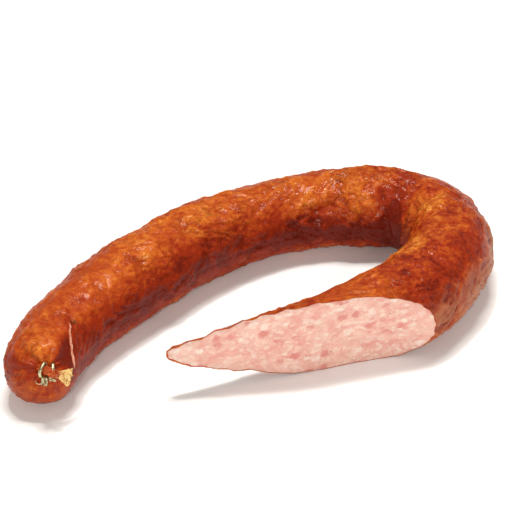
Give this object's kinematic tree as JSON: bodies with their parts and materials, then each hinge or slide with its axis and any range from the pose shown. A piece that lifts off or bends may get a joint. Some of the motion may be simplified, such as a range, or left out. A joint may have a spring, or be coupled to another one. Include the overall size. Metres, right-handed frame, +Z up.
{
  "type": "smoked sausage",
  "caption": "Smoked sausage bent into a horseshoe, in a wrinkled glossy casing tied off by wire clips at one end and cut on a long slant at the other.",
  "frame": {"origin": "on the surface it lies on, under the middle of the bounding box", "axes": "+Z up; +X across the ring, from the clipped end's side to the turn; +Y away from the cut face, which looks along -Y"},
  "size_m": [0.2571, 0.1875, 0.047],
  "materials": {
    "casing": "smoked collagen casing, mottled orange brown, wrinkled and glossy",
    "filling": "moist cut surface of coarse pink sausage meat with cream bits of fat",
    "clip_wire": "bright pressed aluminium wire"
  },
  "bodies": {
    "root": {"casing": "casing", "filling": "filling", "clip_inner": "clip_wire", "clip_outer": "clip_wire"}
  },
  "joints": []
}
